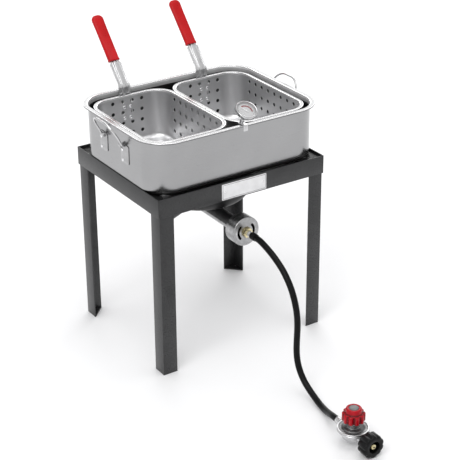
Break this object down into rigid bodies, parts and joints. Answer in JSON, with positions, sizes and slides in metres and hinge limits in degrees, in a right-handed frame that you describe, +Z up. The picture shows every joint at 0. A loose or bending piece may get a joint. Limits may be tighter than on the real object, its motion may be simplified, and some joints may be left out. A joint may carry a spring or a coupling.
{
  "type": "outdoor gas fryer kit",
  "caption": "Outdoor fryer kit: angle-steel stand with gas burner and wind guard, hose and regulator, rectangular pan, two lift-out perforated baskets and clip-on thermometer.",
  "frame": {"origin": "on the ground, under the centre of the kit's box without the hose and the regulator", "axes": "+Z up, -Y towards the gas inlet and the nameplate, +X to the right seen from the front"},
  "size_m": [0.5316, 1.0205, 0.7406],
  "materials": {
    "black_paint": "satin black enamel",
    "cast_iron": "sand-cast, heat-proof black",
    "aluminium": "pressed and satin polished",
    "steel": "plated, bright",
    "chrome": "polished plating",
    "brass": "machined",
    "red_vinyl": "dipped vinyl, semi-gloss",
    "red_plastic": "moulded, glossy",
    "black_plastic": "moulded",
    "rubber": "smooth black",
    "plate": "silver-grey, blank",
    "dial": "printed dial",
    "glass": "clear"
  },
  "bodies": {
    "stand": {"rail_front": "black_paint", "rail_right": "black_paint", "rail_back": "black_paint", "rail_left": "black_paint", "leg_front_left": "black_paint", "leg_front_right": "black_paint", "leg_back_left": "black_paint", "leg_back_right": "black_paint", "foot_plate_front_left": "black_paint", "foot_plate_front_right": "black_paint", "foot_plate_back_left": "black_paint", "foot_plate_back_right": "black_paint", "burner_arm_front_left": "black_paint", "burner_arm_back_right": "black_paint", "nameplate": "plate", "wind_guard": "black_paint", "burner_casting": "cast_iron", "burner_cap": "cast_iron", "burner_bolt": "steel", "air_plate": "steel", "orifice_fitting": "brass", "swivel_nut": "steel", "hose_ferrule_burner": "rubber", "gas_hose": "rubber", "hose_ferrule_regulator": "steel", "regulator_body": "aluminium", "regulator_bonnet": "aluminium", "regulator_diaphragm": "rubber", "regulator_spring": "steel", "inlet_nipple": "brass"},
    "shutter": {"air_shutter": "steel"},
    "pressure_knob": {"regulator_knob": "red_plastic", "knob_insert": "steel", "adjusting_screw": "steel"},
    "hand_nut": {"cylinder_nut": "black_plastic"},
    "pan": {"fry_pan": "aluminium", "bail_bracket_left_front": "aluminium", "bail_bracket_left_back": "aluminium", "bail_bracket_right_front": "aluminium", "bail_bracket_right_back": "aluminium"},
    "left_bail": {"bail_left": "chrome"},
    "right_bail": {"bail_right": "chrome"},
    "left_basket": {"basket_left": "aluminium", "basket_handle_left": "steel", "handle_grip_left": "red_vinyl"},
    "right_basket": {"basket_right": "aluminium", "basket_handle_right": "steel", "handle_grip_right": "red_vinyl"},
    "clip": {"thermometer_clip": "steel"},
    "thermometer": {"thermometer_case": "chrome", "thermometer_dial": "dial", "thermometer_lens": "glass", "thermometer_stem": "steel"},
    "needle": {"thermometer_needle": "steel"}
  },
  "joints": [
    {"name": "pan_lift", "type": "slide", "parent": "stand", "child": "pan", "axis": [0, 0, 1], "range_m": [0, 0.15]},
    {"name": "left_basket_lift", "type": "slide", "parent": "pan", "child": "left_basket", "axis": [0, 0, 1], "range_m": [0, 0.16]},
    {"name": "right_basket_lift", "type": "slide", "parent": "pan", "child": "right_basket", "axis": [0, 0, 1], "range_m": [0, 0.16]},
    {"name": "left_bail_swing", "type": "hinge", "parent": "pan", "child": "left_bail", "pos_m": [-0.2347, -0.0305, 0.54], "axis": [0, 1, 0], "range_deg": [-150, 14]},
    {"name": "right_bail_swing", "type": "hinge", "parent": "pan", "child": "right_bail", "pos_m": [0.2347, -0.0305, 0.54], "axis": [0, 1, 0], "range_deg": [-14, 150]},
    {"name": "clip_lift", "type": "slide", "parent": "pan", "child": "clip", "axis": [0, 0, 1], "range_m": [0, 0.04]},
    {"name": "thermometer_slide", "type": "slide", "parent": "clip", "child": "thermometer", "axis": [0, -0.4894, 0.8721], "range_m": [-0.015, 0.145]},
    {"name": "needle_turn", "type": "hinge", "parent": "thermometer", "child": "needle", "pos_m": [0.0065, -0.2244, 0.62081], "axis": [0, -0.4894, 0.8721], "range_deg": [-150, 90]},
    {"name": "air_shutter_turn", "type": "hinge", "parent": "stand", "child": "shutter", "pos_m": [0, -0.2338, 0.322], "axis": [0, -1, 0], "range_deg": [0, 80]},
    {"name": "pressure_knob_turn", "type": "hinge", "parent": "stand", "child": "pressure_knob", "pos_m": [-0.026, -0.6875, 0.06], "axis": [0, 0, 1], "range_deg": [0, 1080]},
    {"name": "hand_nut_turn", "type": "hinge", "parent": "stand", "child": "hand_nut", "pos_m": [-0.026, -0.7425, 0.0275], "axis": [0, -1, 0], "continuous": true}
  ]
}
